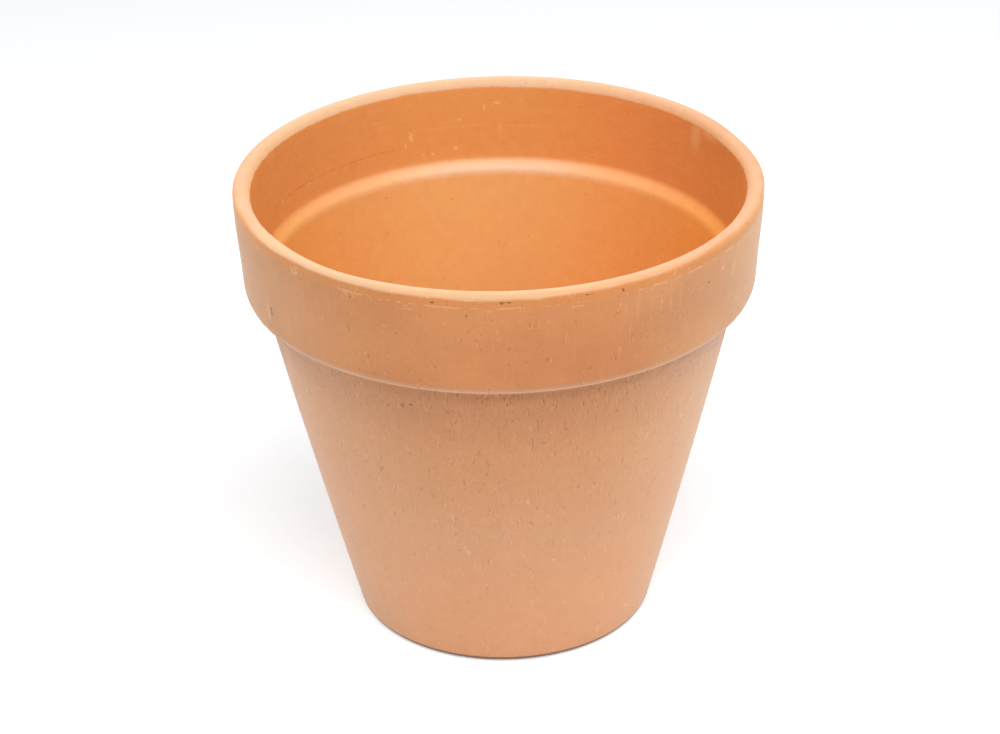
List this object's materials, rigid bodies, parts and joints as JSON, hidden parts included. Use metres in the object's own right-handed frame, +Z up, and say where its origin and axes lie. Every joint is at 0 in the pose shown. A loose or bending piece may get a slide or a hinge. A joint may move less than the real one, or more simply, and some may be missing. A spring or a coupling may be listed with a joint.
{
  "type": "terracotta flower pot",
  "caption": "Tapered fired-clay flower pot with a wide plain collar, an inner ledge behind it and a drain hole through the flat base.",
  "frame": {"origin": "centre of the base, on the surface that the pot stands on", "axes": "+Z up along the pot's axis of revolution, from the base to the mouth; X and Y are alike, because the pot is round"},
  "size_m": [0.2, 0.2, 0.1796],
  "materials": {
    "terracotta": "bare fired clay, matt and slightly open: fine turning lines, upright drag marks, pits and pale lime specks"
  },
  "bodies": {
    "root": {"pot": "terracotta"}
  },
  "joints": []
}
